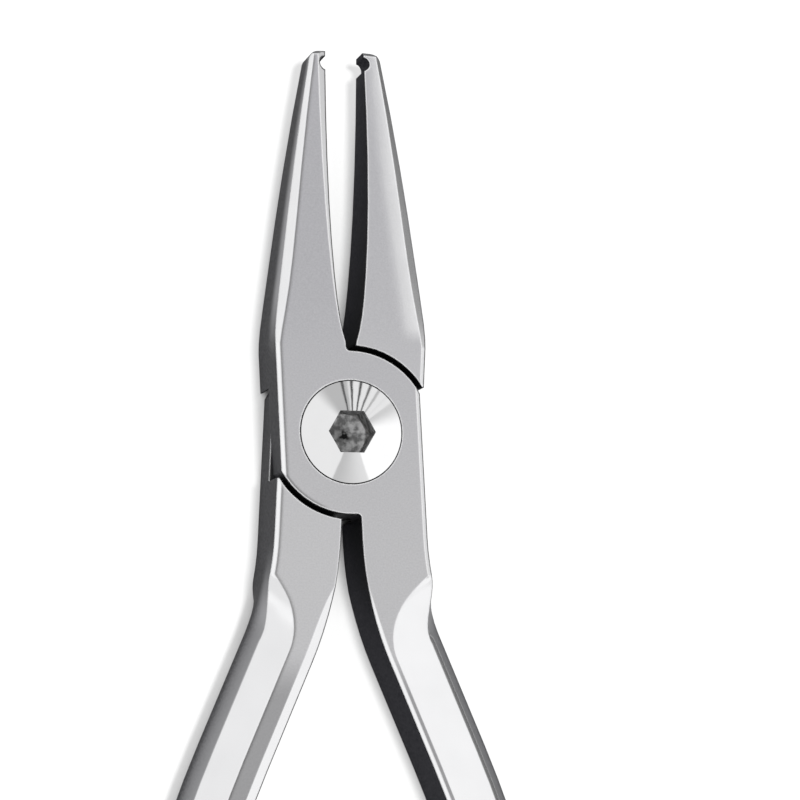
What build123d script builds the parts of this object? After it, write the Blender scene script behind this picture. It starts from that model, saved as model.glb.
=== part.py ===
from build123d import *
from math import acos, asin, degrees, exp, sqrt
import os

os.makedirs("parts", exist_ok=True)

# Frame: X across the pliers, Y from the joint to the beak tips, Z up through the joint from
# the back face at Z = 0. The joint axis is Z. Millimetres and degrees.

# Joint
thickness = 8.0
joint_width = 14.0
rim_reach = 0.85
step_gap = 0.5
lap_gap = 0.04
half_opening = 2.78
crotch_r = 0.4
corner_blunt = 0.2
bevel_slope = 0.5
side_bevel = 0.46
edge_break = 0.12

# Beaks
beak_start = 8.7
beak_end = 37.8
tip_width = 3.25
tip_thickness = 3.3
tip_corner_r = 1.1
tip_bevel = 0.25
taper_power = 1.45
outline_power = 2.5
shoulder_length = 2.4
shoulder_slope = 0.17
beak_relief = 0.76
root_gap = 0.08
lip_gap = 0.02
lip_thickness = 0.5
wire_hole_r = 0.7
end_bevel = 0.3
bevel_swell = 0.53
bevel_peak = 0.31
inner_bevel = 0.85

# Handles
handle_start = 10.3
handle_inner_x = 0.55
root_length = 4.1
flare_r = 30.5
flare_angle = 20.3
straight_length = 11.0
bow_r = 110.0
bow_angle = 27.0
tail_angle = 9.0
grip_thickness = 6.4
grip_swell = 1.05
facet_drop = 1.7
front_facet_share = 0.645
back_facet_share = 0.414
front_inner_share = 0.065
back_inner_share = 0.15
side_bulge_share = 0.186
crease_lean = 0.36
end_facet_share = 0.23
end_drop = 0.9

# Screw
head_r = 4.9
head_height = 2.0
head_cone = 0.4
head_clearance = 0.08
shoulder_r = 3.2
running_clearance = 0.03
thread_r = 2.5
thread_clearance = 0.01
hex_width = 4.0
hex_depth = 3.0
hex_point = 0.8
end_chamfer = 0.4
end_recess = 0.1

half_t = thickness / 2
half_w = joint_width / 2
disc_r = half_w + rim_reach
step_r = disc_r + step_gap
corner_y = sqrt(disc_r**2 - half_w**2)
blunt_y = sqrt(step_r**2 - (half_w - corner_blunt) ** 2)
corner_angle = degrees(acos(half_w / disc_r))
beak_length = beak_end - beak_start
taper_length = beak_length - shoulder_length
shoulder_drop = shoulder_slope * shoulder_length / 2
tip_drop = half_w - tip_width / 2 - shoulder_drop - shoulder_slope * taper_length
end_half = tip_thickness / 2 - end_bevel
tip_slope = shoulder_slope + outline_power * tip_drop / taper_length
handle_width = half_w - handle_inner_x
side_bulge = side_bulge_share * handle_width


# Outer half-width of the closed beaks: a soft shoulder, then a taper that bows in to the tip
def beak_outer(d):
    if d < shoulder_length:
        return half_w - shoulder_slope * d**2 / (2 * shoulder_length)
    e = d - shoulder_length
    return half_w - shoulder_drop - shoulder_slope * e - tip_drop * (e / taper_length) ** outline_power


# One beak section, eight corners, as a share t of the way from the joint to the tip
def beak_section(t):
    outer = -beak_outer(t * beak_length)
    relief = 4 * beak_relief * t**0.7 * (1 - t**0.7)
    inner = -lip_gap - (root_gap - lip_gap) * (1 - t) - relief
    top = half_t - (half_t - tip_thickness / 2) * t**taper_power
    bevel = side_bevel * (1 - t) + tip_bevel * t
    bevel += bevel_swell * t / bevel_peak * exp(1 - t / bevel_peak)
    front_in = edge_break + (inner_bevel - edge_break) * t
    return [
        (outer, top - bevel_slope * bevel),
        (outer + bevel, top),
        (inner - front_in, top),
        (inner, top - bevel_slope * front_in),
        (inner, bevel_slope * edge_break - top),
        (inner - edge_break, -top),
        (outer + bevel, -top),
        (outer, bevel_slope * bevel - top),
    ]


# A side that swells past its chord: three points of an arc, or two where it is straight
def swell(a, b, height):
    if height == 0:
        return [a, b]
    share = height / sqrt((b[0] - a[0]) ** 2 + (b[1] - a[1]) ** 2)
    x = (a[0] + b[0]) / 2 - share * (b[1] - a[1])
    y = (a[1] + b[1]) / 2 + share * (b[0] - a[0])
    return [a, (x, y), b]


# The eight sides of one handle section. Its facets run out as share goes from 0 to 1 along
# the flare, and it rounds off as oval goes from 0 to 1 along the bow.
def handle_sides(share, oval):
    run = 1 - (1 - share) ** 3.3
    turn = share**2 * (3 - 2 * share)
    width = handle_width * (1 + (grip_swell - 1) * oval)
    top = half_t - (half_t - grip_thickness / 2) * oval
    end_facet = end_facet_share * width
    front = side_bevel + (front_facet_share * width - side_bevel) * run
    back = side_bevel + (back_facet_share * width - side_bevel) * run
    front_in = edge_break + (front_inner_share * width - edge_break) * run
    back_in = edge_break + (back_inner_share * width - edge_break) * run
    drop = bevel_slope * side_bevel
    drop += (facet_drop - drop) * turn
    front_in_drop = bevel_slope * front_in * (1 - oval) + end_drop * oval
    back_in_drop = bevel_slope * back_in * (1 - oval) + end_drop * oval
    drop += (end_drop - drop) * oval
    front += (end_facet - front) * oval
    back += (end_facet - back) * oval
    front_in += (end_facet - front_in) * oval
    back_in += (end_facet - back_in) * oval
    outer = width / 2 - side_bulge * turn
    lean = crease_lean * turn * (1 - oval)
    inner = side_bulge * oval - width / 2
    a = (inner, top - front_in_drop)
    b = (inner + front_in, top)
    c = (outer - lean - front, top)
    d = (outer - lean, top - drop)
    e = (outer, drop - top)
    f = (outer - back, -top)
    g = (inner + back_in, -top)
    h = (inner, back_in_drop - top)
    return [
        [a, b],
        [b, c],
        [c, d],
        swell(d, e, side_bulge * turn + lean / 2),
        [e, f],
        [f, g],
        [g, h],
        swell(h, a, side_bulge * oval),
    ]


# Plane across a path at a share of its length, its x axis pointing out from the pliers
def across(path, share):
    along = path % share
    return Plane(path @ share, x_dir=(-along.Y, along.X, 0), z_dir=along)


# Joint: plate, beak root and handle root of one half, in the closed position
with BuildPart() as joint_block:
    with BuildSketch(Plane.XY.offset(-half_t)) as joint_plan:
        with BuildLine():
            Line((-half_w, beak_start), (-half_w, -corner_y))
            low_rim = CenterArc(
                (0, 0),
                disc_r,
                180 + corner_angle,
                90 - corner_angle + degrees(asin(handle_inner_x / disc_r)),
            )
            Polyline(
                low_rim @ 1,
                (handle_inner_x, -handle_start),
                (half_w, -handle_start),
                (half_w, corner_y),
            )
            high_rim = CenterArc(
                (0, 0),
                disc_r,
                corner_angle,
                90 - corner_angle + degrees(asin(root_gap / disc_r)),
            )
            Polyline(high_rim @ 1, (-root_gap, beak_start), (-half_w, beak_start))
        make_face()
        crotches = [
            joint_plan.vertices().sort_by_distance(rim @ 1)[0]
            for rim in (low_rim, high_rim)
        ]
        fillet(crotches, radius=crotch_r)
    extrude(amount=thickness)
    for end in (0, -1):
        face = joint_block.faces().sort_by(Axis.Z)[end]
        sides = face.edges().filter_by(Axis.Y).group_by(Axis.X)
        chamfer(sides[0] + sides[-1], side_bevel, bevel_slope * side_bevel, reference=face)
    # Lap: the other half's plate turns in this round recess, whose outer corners are blunted
    with BuildSketch(Plane.XY.offset(-half_t)):
        Circle(step_r)
        Rectangle(joint_width, 2 * blunt_y)
    extrude(amount=half_t + lap_gap / 2, mode=Mode.SUBTRACT)
    # Broken edges on the rims, steps and inner sides of both faces
    levels = joint_block.faces().filter_by(Plane.XY).group_by(Axis.Z)
    for face in levels[0] + levels[-1]:
        rims = face.edges().filter_by(GeomType.CIRCLE)
        inner_sides = face.edges().filter_by(Axis.Y).sort_by(lambda e: abs(e.center().X))
        edges = rims + inner_sides[0:1]
        chamfer(edges, edge_break, bevel_slope * edge_break, reference=face)

# Beak: lofted taper, rounded outer corner at the tip and half of the wire hole
with BuildPart() as beak:
    for i in range(11):
        with BuildSketch(Plane.XZ.offset(-beak_start - i / 10 * beak_length)):
            with BuildLine():
                Polyline(*beak_section(i / 10), close=True)
            make_face()
    loft()
    with BuildSketch(Plane.YZ) as side_profile:
        with BuildLine():
            Polyline(
                (beak_start, half_t),
                (beak_end - half_t + end_half, half_t),
                (beak_end, end_half),
                (beak_end, 0),
                (beak_start, 0),
                close=True,
            )
        make_face()
        mirror(about=Plane.XZ)
    extrude(amount=joint_width, both=True, mode=Mode.INTERSECT)
    with BuildSketch(Plane.XY.offset(-half_t)) as tip_plan:
        with BuildLine():
            Polyline(
                (-tip_width / 2, beak_end),
                (-tip_width / 2 - tip_slope * beak_length, beak_start),
                (0, beak_start),
                (0, beak_end),
                close=True,
            )
        make_face()
        tip_corner = tip_plan.vertices().group_by(Axis.Y)[-1].sort_by(Axis.X)[0]
        fillet(tip_corner, radius=tip_corner_r)
    extrude(amount=thickness, mode=Mode.INTERSECT)
    with Locations((0, beak_end - lip_thickness - wire_hole_r)):
        Hole(wire_hole_r)

# Handle path of one half in the closed position: flaring out, straight, then bowing back
with BuildLine() as handle_path:
    flare = JernArc((half_w - handle_width / 2, -handle_start), (0, -1), flare_r, flare_angle)
    straight = PolarLine(flare @ 1, straight_length, direction=flare % 1)
    bow = JernArc(straight @ 1, straight % 1, bow_r, -bow_angle)
    tail = JernArc(bow @ 1, bow % 1, bow_r, -tail_angle)

# Handle sections: the plain root, nine along the run-out, the grip and three along the tail
root_share = root_length / flare.length
stations = [(across(flare, 0), 0, 0)]
stations += [(across(flare, root_share + (1 - root_share) * i / 8), i / 8, 0) for i in range(9)]
stations += [(across(bow, 0), 1, 0)]
stations += [(across(tail, i / 2), 1, i / 2) for i in range(3)]
sections = []
for plane, share, oval in stations:
    with BuildSketch(plane) as section:
        with BuildLine():
            for side in handle_sides(share, oval):
                if len(side) == 2:
                    Line(*side)
                else:
                    ThreePointArc(*side)
        make_face()
    sections.append(section.sketch)

# Handle: plain root, faceted run-out, straight, bowed grip, rounding tail and its round end
with BuildPart() as handle:
    root_axis = Axis(flare.arc_center, (0, 0, 1))
    revolve(sections[0], axis=root_axis, revolution_arc=flare_angle * root_share)
    loft(sections[1:10])
    extrude(sections[9], amount=straight_length)
    revolve(sections[10], axis=Axis(bow.arc_center, (0, 0, -1)), revolution_arc=bow_angle)
    loft(sections[11:])
    with BuildSketch(across(tail, 1)):
        with BuildLine():
            upper, side, lower = handle_sides(1, 1)[2:5]
            ThreePointArc(*side)
            Polyline(
                side[0],
                upper[0],
                (0, grip_thickness / 2),
                (0, -grip_thickness / 2),
                lower[1],
                side[2],
            )
        make_face()
    revolve(axis=Axis(tail @ 1, (0, 0, -1)), revolution_arc=180)

# The forging that both halves start from
with BuildPart() as blank:
    add(joint_block.part)
    add(beak.part)
    add(handle.part)

# Front half: left beak and right handle, with the screw's seat and bearing bore
with BuildPart() as front_half:
    add(blank.part.moved(Pos(0, 0, half_t) * Rot(0, 0, half_opening)))
    with Locations((0, 0, thickness)):
        CounterBoreHole(
            radius=shoulder_r + running_clearance,
            counter_bore_radius=head_r + head_clearance,
            counter_bore_depth=head_height + running_clearance,
        )
    face = front_half.faces().sort_by(Axis.Z)[-1]
    seat_edge = face.edges().filter_by(lambda e: e.is_closed)
    chamfer(seat_edge, edge_break, bevel_slope * edge_break, reference=face)

# Rear half: the same forging turned over, with the hole the screw threads into
with BuildPart() as rear_half:
    add(blank.part.moved(Pos(0, 0, half_t) * Rot(0, 0, -half_opening) * Rot(0, 180, 0)))
    with Locations((0, 0, half_t)):
        Hole(thread_r + thread_clearance)

# Joint screw: polished coned head with a hexagon socket, bearing shoulder and plain thread
with BuildPart() as joint_screw:
    seat = thickness - head_height
    with BuildSketch(Plane.XZ):
        with BuildLine():
            Polyline(
                (0, end_recess),
                (thread_r - end_chamfer, end_recess),
                (thread_r, end_recess + end_chamfer),
                (thread_r, half_t - lap_gap / 2),
                (shoulder_r, half_t - lap_gap / 2),
                (shoulder_r, seat),
                (head_r, seat),
                (head_r, thickness),
                (hex_width / 2, thickness + head_cone),
                (0, thickness + head_cone),
                close=True,
            )
        make_face()
    revolve(axis=Axis.Z)
    socket_floor = thickness + head_cone - hex_depth
    with BuildSketch(Plane.XY.offset(socket_floor)):
        RegularPolygon(hex_width / 2, 6, major_radius=False)
    extrude(amount=hex_depth, mode=Mode.SUBTRACT)
    with Locations((0, 0, socket_floor - hex_point / 2)):
        Cone(0, hex_width / 2, hex_point, mode=Mode.SUBTRACT)

front_half.part.label = "front_half"
rear_half.part.label = "rear_half"
joint_screw.part.label = "joint_screw"

export_step(front_half.part, "parts/front_half.step")
export_step(rear_half.part, "parts/rear_half.step")
export_step(joint_screw.part, "parts/joint_screw.step")
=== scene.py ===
import math

import bpy
from mathutils import Matrix, Vector

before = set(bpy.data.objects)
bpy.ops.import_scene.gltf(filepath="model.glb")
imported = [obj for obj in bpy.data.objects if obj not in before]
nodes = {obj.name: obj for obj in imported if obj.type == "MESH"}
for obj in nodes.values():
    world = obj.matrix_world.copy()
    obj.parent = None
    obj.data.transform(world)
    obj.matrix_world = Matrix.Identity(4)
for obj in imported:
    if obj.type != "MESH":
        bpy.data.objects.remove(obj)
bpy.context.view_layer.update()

# Sizes in metres
thickness = 0.008
edge_radius = 0.00025
line_reach = 0.0006
strip_reach = 0.0031
steel_bump = 0.00002
mottle_bump = 0.00004
mottle_spread = 0.0012
floor_radius = 1.6
floor_shade_reach = 0.004

# Bands, from where a change starts to where it ends, by how far a face points up or leans aside
flat_facing = (0.955, 0.99)
wall_facing = (0.838, 0.79)
strip_lean = (0.005, 0.05)
line_lean = (-0.02, -0.12)

# Bands by place, in metres from the joint's axis and up from the back face
inward_reach = (0.0, -0.0004)
left_x = (-0.002, -0.003)
beak_y = (0.0085, 0.0105)
joint_to_handle_y = (0.02, -0.014)
handle_y = (-0.0205, -0.0255)
joint_middle_y = -0.002
clear_of_joint = (0.008, 0.016)
pale_wall_z = (0.0042, 0.0068)
lap_depth = (0.0008, 0.0003)
socket_z = (0.00795, 0.00785)
drill_point_r = (0.0011, 0.0008)

# Colours of the steel, in pairs from the darker grains to the lighter ones
satin = ((0.475, 0.473, 0.497, 1), (0.635, 0.632, 0.657, 1))
pale_satin = ((0.52, 0.518, 0.53, 1), (0.68, 0.677, 0.69, 1))
polished = ((0.86, 0.86, 0.87, 1), (0.94, 0.94, 0.95, 1))
mirror = ((0.93, 0.93, 0.935, 1), (0.97, 0.97, 0.975, 1))
socket_mottle = ((0.2, 0.2, 0.2, 1), (0.62, 0.62, 0.62, 1))
# The wall colours are painted shade, darker still on the inner walls
outer_wall = ((0.045, 0.045, 0.048, 1), (0.095, 0.095, 0.1, 1))
inner_wall = ((0.024, 0.024, 0.027, 1), (0.058, 0.058, 0.062, 1))

# Plain colours
white = (1, 1, 1, 1)
black = (0, 0, 0, 1)
# Painted light on the outer walls towards the front
pale_wall = (0.35, 0.35, 0.36, 1)
# Painted shade on the lap faces
lap_shade = (0.07, 0.07, 0.072, 1)
# Painted shade for the thin dark line
line_grey = (0.1, 0.1, 0.1, 1)
# Painted shade in the drill point
drill_point_grey = (0.02, 0.02, 0.02, 1)
# Edge tints that keep the walls dark at a grazing view: painted shade
outer_wall_edge = (0.5, 0.5, 0.5, 1)
inner_wall_edge = (0.42, 0.42, 0.43, 1)
paper_grey = (0.2, 0.2, 0.2, 1)

# Roughness, strength of the bumps, of the darkening along the handles, of the painted dark line and of
# the floor's glow
polished_rough = 0.12
satin_rough = 0.4
wall_rough = 0.5
mirror_rough = 0.04
socket_rough = 0.5
satin_bumps = 0.25
wall_bumps = 0.4
socket_bumps = 0.5
handle_darkening = 0.36
line_strength = 0.6
paper_glow = 0.6


# Node helpers: a new node with its settings, and short forms of the usual kinds
def node(tree, kind, inputs=None, **settings):
    made = tree.nodes.new(kind)
    for key, value in settings.items():
        setattr(made, key, value)
    for key, value in (inputs or {}).items():
        if isinstance(value, bpy.types.NodeSocket):
            tree.links.new(value, made.inputs[key])
        else:
            made.inputs[key].default_value = value
    return made


def maths(tree, operation, *values):
    return node(tree, "ShaderNodeMath", dict(enumerate(values)), operation=operation).outputs[0]


def product(tree, first, *others):
    for other in others:
        first = maths(tree, "MULTIPLY", first, other)
    return first


def split(tree, vector):
    return node(tree, "ShaderNodeSeparateXYZ", {0: vector}).outputs


# Share of the way through a band, eased at both ends
def step(tree, value, band):
    start, end = band
    ramp = node(
        tree,
        "ShaderNodeMapRange",
        {"Value": value, "From Min": start, "From Max": end},
        interpolation_type="SMOOTHSTEP",
    )
    return ramp.outputs["Result"]


def mix(tree, share, a, b):
    made = node(tree, "ShaderNodeMix", {"Factor": share, "A": a, "B": b}, data_type="FLOAT")
    return made.outputs["Result"]


# The mix node has sockets of the same name for numbers and for colours, so these go by number
def mix_colour(tree, share, a, b):
    return node(tree, "ShaderNodeMix", {0: share, 6: a, 7: b}, data_type="RGBA").outputs[2]


def noise(tree, where, scale, detail):
    made = node(tree, "ShaderNodeTexNoise", {"Vector": where, "Scale": scale, "Detail": detail})
    return made.outputs["Fac"]


def rounded_normal(tree, radius):
    return node(tree, "ShaderNodeBevel", {"Radius": radius}, samples=8).outputs[0]


def new_material(name):
    made = bpy.data.materials.new(name)
    made.use_nodes = True
    made.node_tree.nodes.clear()
    return made, made.node_tree


def finish_material(tree, colour, roughness, normal, edge=white):
    shader = node(
        tree,
        "ShaderNodeBsdfPrincipled",
        {
            "Base Color": colour,
            "Metallic": 1.0,
            "Roughness": roughness,
            "Specular Tint": edge,
            "Normal": normal,
        },
    )
    node(tree, "ShaderNodeOutputMaterial", {"Surface": shader.outputs[0]})


# Flats: satin that pales from the beaks to the joint's lower end and is darker along the handles
def flat_colour(tree, place, grain, bright, painted_lift, glint):
    x, y, _ = split(tree, place)
    colour = mix_colour(tree, grain, *satin)
    paler = mix_colour(tree, grain, *pale_satin)
    colour = mix_colour(tree, step(tree, y, joint_to_handle_y), colour, paler)
    # Painted light: a share of white makes the flats brighter on one half
    colour = mix_colour(tree, painted_lift, colour, white)
    darkening = product(tree, step(tree, y, handle_y), handle_darkening)
    colour = mix_colour(tree, darkening, colour, black)
    # Painted highlight: a soft light strip along the outer edge of the beak, in the polished colour
    lean = split(tree, rounded_normal(tree, strip_reach))[0]
    strip = product(tree, step(tree, lean, strip_lean), step(tree, y, beak_y), glint)
    colour = mix_colour(tree, strip, colour, bright)
    # Painted shade: a thin dark line where a flat turns down to the left
    lean = split(tree, rounded_normal(tree, line_reach))[0]
    line = product(tree, step(tree, lean, line_lean), step(tree, x, left_x), line_strength)
    return mix_colour(tree, line, colour, line_grey)


# Walls, painted dark as shade: outer ones have painted light towards the front, clear of the joint, and
# inner ones are painted darker still as shade between the halves
def wall_colour(tree, place, pits, inward):
    _, y, z = split(tree, place)
    specks = step(tree, pits, (0.3, 0.7))
    outer = mix_colour(tree, specks, *outer_wall)
    away = maths(tree, "ABSOLUTE", maths(tree, "SUBTRACT", y, joint_middle_y))
    # Painted light: outer walls lighter towards the front, clear of the joint
    pale = product(tree, step(tree, z, pale_wall_z), step(tree, away, clear_of_joint))
    outer = mix_colour(tree, pale, outer, pale_wall)
    inner = mix_colour(tree, specks, *inner_wall)
    return mix_colour(tree, inward, outer, inner)


# Forged steel: satin flats, polished bevels and facets, and walls painted dark as shade. Edges are
# softly rounded.
# A share of white brightens the flats of one half as painted light, and the glint sets the painted
# highlight strip along the beak.
def steel(name, painted_lift, glint):
    made, tree = new_material(name)
    coordinates = node(tree, "ShaderNodeTexCoord").outputs
    place = coordinates["Object"]
    x, _, z = split(tree, place)
    across, _, upward = split(tree, coordinates["Normal"])
    rounded = rounded_normal(tree, edge_radius)
    facing = maths(tree, "ABSOLUTE", split(tree, rounded)[2])
    flat = step(tree, facing, flat_facing)
    wall = step(tree, facing, wall_facing)
    # Inner walls face the middle of the pliers and are painted darker, as shade between the halves
    inward = step(tree, product(tree, x, across), inward_reach)
    grain = noise(tree, place, scale=6000, detail=2.0)
    cloud = noise(tree, place, scale=260, detail=3.0)
    pits = noise(tree, place, scale=4500, detail=3.0)
    bright = mix_colour(tree, cloud, *polished)
    colour = mix_colour(tree, flat, bright, flat_colour(tree, place, grain, bright, painted_lift, glint))
    colour = mix_colour(tree, wall, colour, wall_colour(tree, place, pits, inward))
    # Painted shade: the lap faces, which lie at half the thickness, are painted dark
    lap = product(tree, maths(tree, "SUBTRACT", z, thickness / 2), upward)
    lap = product(tree, step(tree, lap, lap_depth), flat)
    colour = mix_colour(tree, lap, colour, lap_shade)
    # Painted shade: the edge tint keeps the walls dark at a grazing view too
    edge = mix_colour(tree, inward, outer_wall_edge, inner_wall_edge)
    edge = mix_colour(tree, wall, white, edge)
    roughness = mix(tree, flat, polished_rough, satin_rough)
    roughness = mix(tree, wall, roughness, wall_rough)
    bumps = mix(tree, wall, product(tree, flat, satin_bumps), wall_bumps)
    texture = mix(tree, wall, grain, pits)
    bump = node(
        tree,
        "ShaderNodeBump",
        {"Strength": bumps, "Distance": steel_bump, "Height": texture, "Normal": rounded},
    )
    finish_material(tree, colour, roughness, bump.outputs[0], edge)
    return made


# Screw: a mirror-polished cone round a rough socket, darker and uneven in colour
def screw_steel():
    made, tree = new_material("polished_screw")
    place = node(tree, "ShaderNodeTexCoord").outputs["Object"]
    inside = step(tree, split(tree, place)[2], socket_z)
    cloud = noise(tree, place, scale=700, detail=4.0)
    mottle = noise(tree, place, scale=1500, detail=5.0)
    polish = mix_colour(tree, cloud, *mirror)
    socket = mix_colour(tree, step(tree, mottle, (0.35, 0.65)), *socket_mottle)
    # Painted shade: the drill point in the middle of the socket is painted black, with a ragged edge
    level_place = node(tree, "ShaderNodeMapping", {"Vector": place, "Scale": (1, 1, 0)}).outputs[0]
    radius = node(tree, "ShaderNodeVectorMath", {0: level_place}, operation="LENGTH").outputs["Value"]
    radius = maths(tree, "ADD", radius, product(tree, mottle, mottle_spread))
    socket = mix_colour(tree, step(tree, radius, drill_point_r), socket, drill_point_grey)
    colour = mix_colour(tree, inside, polish, socket)
    roughness = mix(tree, inside, mirror_rough, socket_rough)
    bumps = product(tree, inside, socket_bumps)
    bump = node(tree, "ShaderNodeBump", {"Strength": bumps, "Distance": mottle_bump, "Height": mottle})
    finish_material(tree, colour, roughness, bump.outputs[0])
    return made


for name, material in (
    ("front_half", steel("forged_front", painted_lift=0.0, glint=0.0)),
    ("rear_half", steel("forged_rear", painted_lift=0.08, glint=1.0)),
    ("joint_screw", screw_steel()),
):
    nodes[name].data.materials.clear()
    nodes[name].data.materials.append(material)

# Floor: a plain white sheet that the pliers lie on. Its glow is dimmed where they stand close above it,
# a painted shadow
bpy.ops.mesh.primitive_circle_add(vertices=96, radius=floor_radius, fill_type="NGON", location=(0, 0, 0))
floor = bpy.context.object
floor.name = "floor"
paper, tree = new_material("white_paper")
light = node(tree, "ShaderNodeLightPath").outputs
seen = maths(tree, "MAXIMUM", light["Is Camera Ray"], light["Is Glossy Ray"])
seen = maths(tree, "MAXIMUM", seen, light["Is Transmission Ray"])
# Painted shadow: occlusion near the pliers dims the glow
shade = node(tree, "ShaderNodeAmbientOcclusion", {"Distance": floor_shade_reach}, samples=16)
open_air = node(
    tree,
    "ShaderNodeMapRange",
    {"Value": shade.outputs["AO"], "From Min": 0.15, "From Max": 0.6},
)
strength = product(tree, seen, open_air.outputs["Result"], paper_glow)
plain = node(tree, "ShaderNodeBsdfDiffuse", {"Color": paper_grey})
glow = node(tree, "ShaderNodeEmission", {"Strength": strength})
sheet = node(tree, "ShaderNodeAddShader", {0: plain.outputs[0], 1: glow.outputs[0]})
node(tree, "ShaderNodeOutputMaterial", {"Surface": sheet.outputs[0]})
floor.data.materials.append(paper)

# Studio: soft light from all round, over a dark horizon on the right
world = bpy.data.worlds.new("studio")
bpy.context.scene.world = world
world.use_nodes = True
tree = world.node_tree
tree.nodes.clear()
sky_x, sky_y, sky_z = split(tree, node(tree, "ShaderNodeTexCoord").outputs["Generated"])
horizon = mix(tree, step(tree, sky_z, (0.29, 0.345)), 0.17, 0.72)
right_side = mix(tree, step(tree, sky_z, (0.345, 0.4)), horizon, 1.0)
left_side = mix(tree, step(tree, sky_z, (0.68, 0.76)), 0.9, 1.02)
sides = mix(tree, step(tree, sky_x, (-0.1, 0.1)), left_side, right_side)

# Overhead: the level changes with the angle, in radians, about the point that the flats mirror
mirrored_x = 0.237
mirrored_y = 0.12
first_level = 1.06
later_levels = (
    ((0.15, 0.6), 0.62),
    ((0.62, 0.68), 0.82),
    ((1.62, 1.7), 0.5),
    ((2.1, 2.45), 0.85),
    ((-1.95, -2.0), 0.85),
)
across_x = maths(tree, "SUBTRACT", sky_x, mirrored_x)
across_y = maths(tree, "SUBTRACT", sky_y, mirrored_y)
turn = maths(tree, "ARCTAN2", across_y, across_x)
overhead = first_level
for band, level in later_levels:
    overhead = mix(tree, step(tree, turn, band), overhead, level)

# A dimmer wedge on the side of the handles
wedge = product(tree, step(tree, turn, (-2.0, -1.95)), step(tree, turn, (-1.2, -1.25)))
wedge_level = mix(tree, step(tree, turn, (-2.0, -1.2)), 0.53, 0.78)
overhead = mix(tree, wedge, overhead, wedge_level)

# Dark slats on the side of the beaks
slat_middle = 1.58
slat_rate = 31.6
slat_level = 0.06
slat = maths(tree, "COSINE", product(tree, maths(tree, "SUBTRACT", turn, slat_middle), slat_rate))
slat = product(
    tree,
    step(tree, slat, (0.3, 0.9)),
    step(tree, turn, (0.7, 1.3)),
    step(tree, turn, (1.95, 1.75)),
    step(tree, sky_y, (0.24, 0.28)),
)
overhead = mix(tree, slat, overhead, slat_level)
sky_level = mix(tree, step(tree, sky_z, (0.8, 0.86)), sides, overhead)
sky = node(tree, "ShaderNodeBackground", {"Color": white, "Strength": sky_level})
node(tree, "ShaderNodeOutputWorld", {"Surface": sky.outputs[0]})

# Key lamp overhead, a little to the right, so that a short soft shadow falls to the left
key = bpy.data.lights.new("key", "AREA")
key.shape = "DISK"
key.size = 0.13
key.energy = 17.0
key_lamp = bpy.data.objects.new("key", key)
bpy.context.collection.objects.link(key_lamp)
key_lamp.location = (0.065, 0, 1.0)
key_lamp.rotation_euler = (-key_lamp.location).to_track_quat("-Z", "Y").to_euler()
key_lamp.visible_glossy = False

# Camera: above the joint, from the left and the side of the handles, aimed a little past the joint
tilt_to_left = math.radians(13.68)
tilt_to_handles = math.radians(7.12)
roll = math.radians(0.19)
distance = 0.2752
aim_right = 0.00462
aim_up = 0.00304
joint_face = Vector((0, 0, thickness))
outward = Vector((-math.tan(tilt_to_left), -math.tan(tilt_to_handles), 1)).normalized()
level_right = Vector((0, 1, 0)).cross(outward).normalized()
level_up = outward.cross(level_right)
rolled_right = level_right * math.cos(roll) - level_up * math.sin(roll)
rolled_up = level_up * math.cos(roll) + level_right * math.sin(roll)
eye = joint_face + outward * distance
target = joint_face + rolled_right * aim_right + rolled_up * aim_up
back = (eye - target).normalized()
right = rolled_up.cross(back).normalized()
up = back.cross(right)
lens = bpy.data.cameras.new("camera")
lens.sensor_width = 36
lens.lens = 130.0
lens.clip_start = 0.01
camera = bpy.data.objects.new("camera", lens)
bpy.context.collection.objects.link(camera)
camera.matrix_world = Matrix.Translation(eye) @ Matrix((right, up, back)).transposed().to_4x4()

scene = bpy.context.scene
scene.camera = camera
scene.view_settings.view_transform = "Standard"
